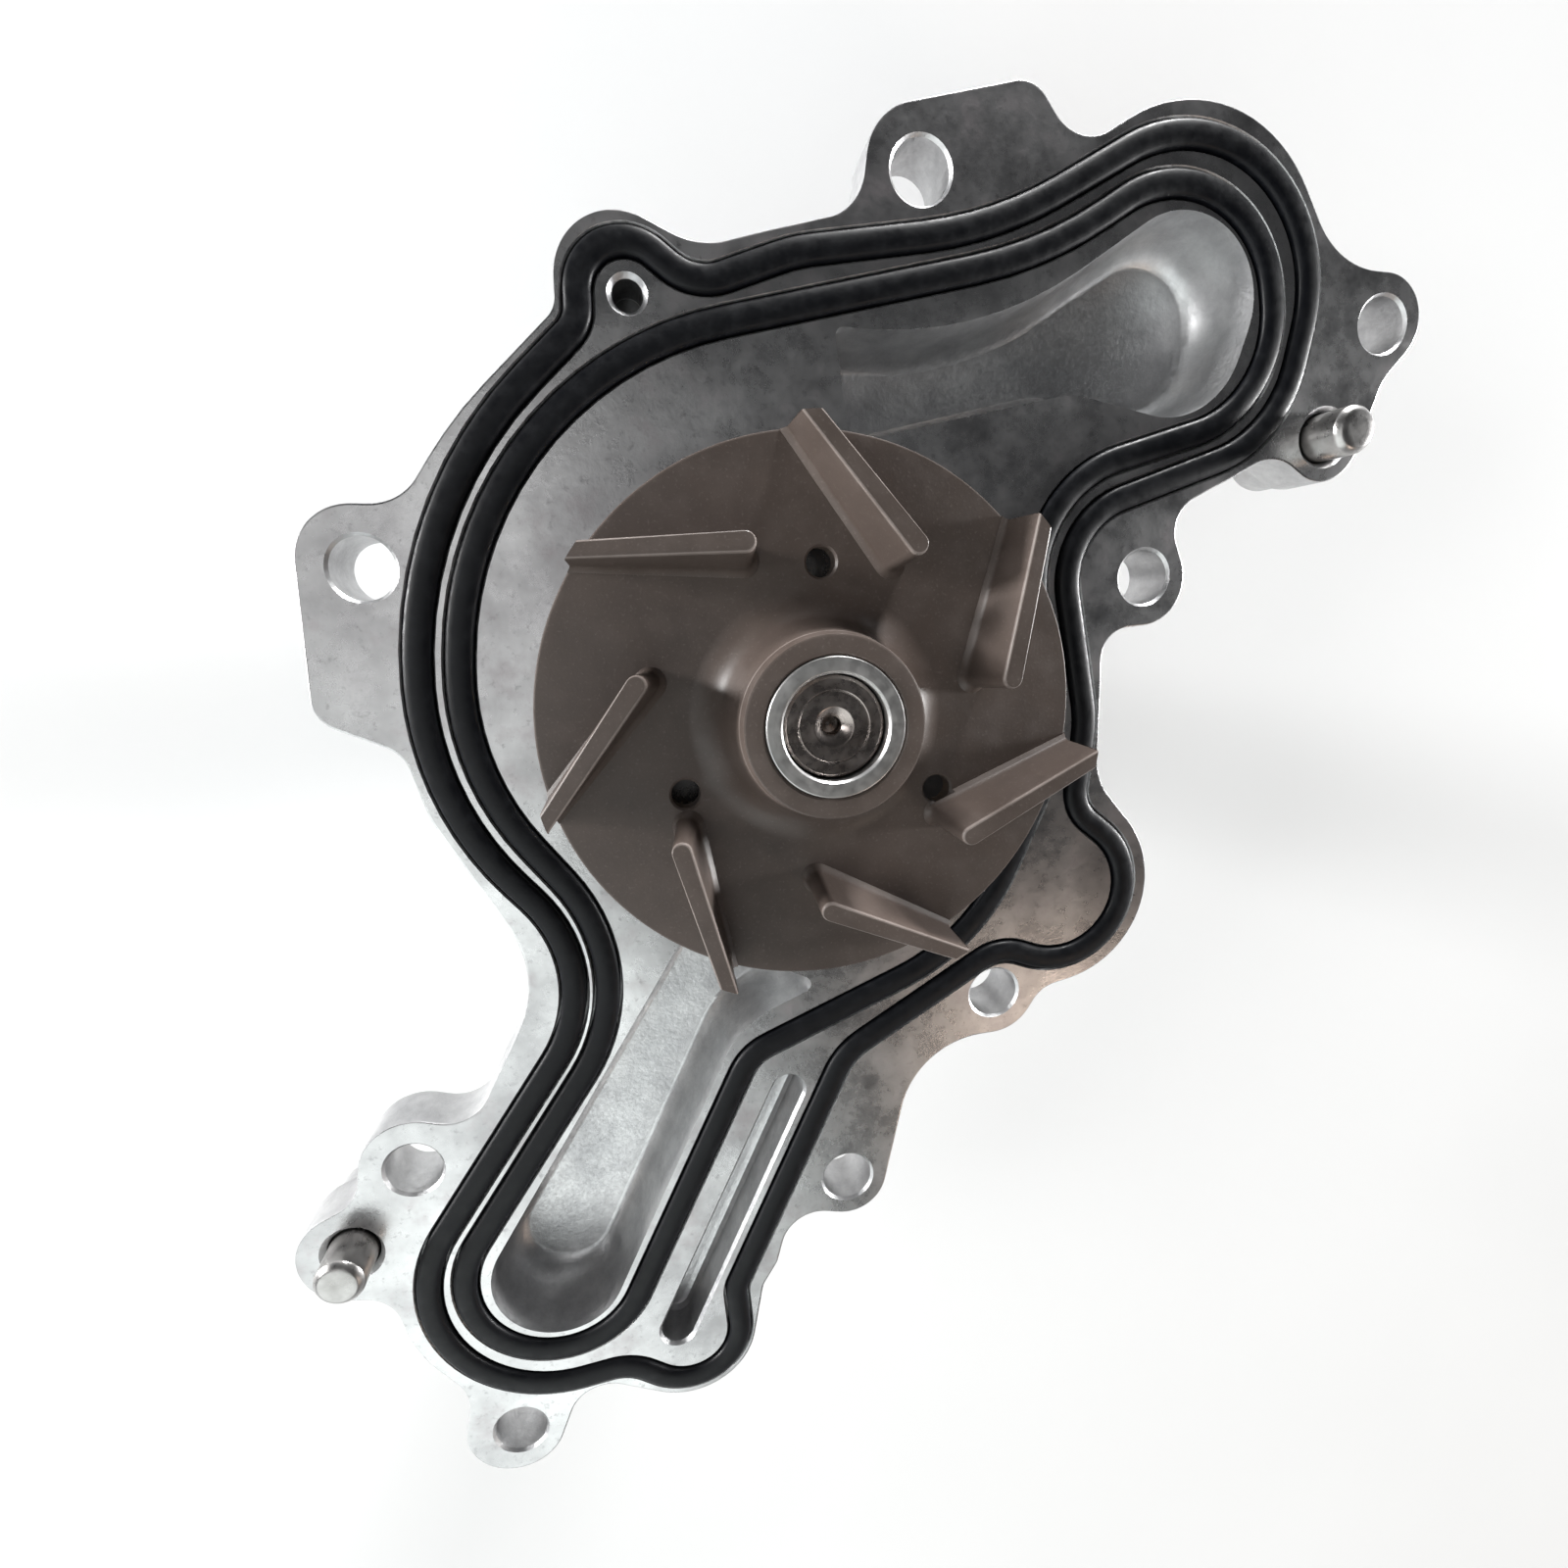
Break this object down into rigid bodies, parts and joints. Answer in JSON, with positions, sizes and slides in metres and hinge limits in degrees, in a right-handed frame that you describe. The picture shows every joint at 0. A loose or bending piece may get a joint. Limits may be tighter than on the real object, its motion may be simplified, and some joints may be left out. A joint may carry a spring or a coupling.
{
  "type": "automotive water pump",
  "caption": "Engine water pump with a cast flanged body, twin face seals, an open vaned impeller, a bearing shaft with a mechanical seal, and a pulley hub.",
  "frame": {"origin": "centre of the pulley hub's seating face, on the shaft axis, where the shaft's end is flush with it", "axes": "+Z along the shaft from the pulley hub towards the impeller and engine; +Y towards the upper outlet's side of the flange"},
  "size_m": [0.1923, 0.2316, 0.0862],
  "materials": {
    "cast_aluminium": "satin",
    "seal_rubber": "satin",
    "ground_steel": "satin",
    "bearing_steel": "satin",
    "impeller_moulding": "matte",
    "seal_brass": "satin",
    "seal_carbon": "satin",
    "seal_ceramic": "satin",
    "cage_plastic": "matte"
  },
  "bodies": {
    "pump_housing": {"pump_body": "cast_aluminium", "outer_seal": "seal_rubber", "inner_seal": "seal_rubber", "dowel_pin_lower": "ground_steel", "dowel_pin_upper": "ground_steel", "bearing_outer_race": "bearing_steel", "bearing_seal_front": "seal_rubber", "bearing_seal_rear": "seal_rubber", "seal_cup": "seal_brass", "seal_bellows": "seal_rubber", "seal_spring": "ground_steel", "weep_cap": "cage_plastic"},
    "rotor": {"shaft": "ground_steel", "impeller": "impeller_moulding", "impeller_insert": "ground_steel", "mating_ring": "seal_ceramic", "mating_ring_boot": "seal_rubber", "slinger": "ground_steel", "pulley_hub": "bearing_steel"},
    "ball_set": {"bearing_ball_1": "ground_steel", "bearing_ball_2": "ground_steel", "bearing_ball_3": "ground_steel", "bearing_ball_4": "ground_steel", "bearing_ball_5": "ground_steel", "bearing_ball_6": "ground_steel", "bearing_ball_7": "ground_steel", "bearing_ball_8": "ground_steel", "ball_cage": "cage_plastic"},
    "roller_set": {"bearing_roller_1": "ground_steel", "bearing_roller_2": "ground_steel", "bearing_roller_3": "ground_steel", "bearing_roller_4": "ground_steel", "bearing_roller_5": "ground_steel", "bearing_roller_6": "ground_steel", "bearing_roller_7": "ground_steel", "bearing_roller_8": "ground_steel", "roller_cage": "cage_plastic"},
    "seal_face": {"carbon_ring": "seal_carbon", "seal_retainer": "ground_steel"}
  },
  "joints": [
    {"name": "shaft_spin", "type": "hinge", "parent": "pump_housing", "child": "rotor", "pos_m": [0, 0, 0.04], "axis": [0, 0, 1], "continuous": true},
    {"name": "ball_orbit", "type": "hinge", "parent": "pump_housing", "child": "ball_set", "pos_m": [0, 0, 0.04], "axis": [0, 0, 1], "continuous": true},
    {"name": "roller_orbit", "type": "hinge", "parent": "pump_housing", "child": "roller_set", "pos_m": [0, 0, 0.026], "axis": [0, 0, 1], "continuous": true},
    {"name": "seal_face_travel", "type": "slide", "parent": "pump_housing", "child": "seal_face", "axis": [0, 0, 1], "range_m": [-0.0008, 0], "stiffness_N_per_m": 200, "springref_m": 0.0005, "deforming": ["seal_spring", "seal_bellows"]}
  ],
  "couplings": [
    {"joint": "ball_orbit", "follows": "shaft_spin", "ratio": 0.37},
    {"joint": "roller_orbit", "follows": "shaft_spin", "ratio": 0.394}
  ]
}
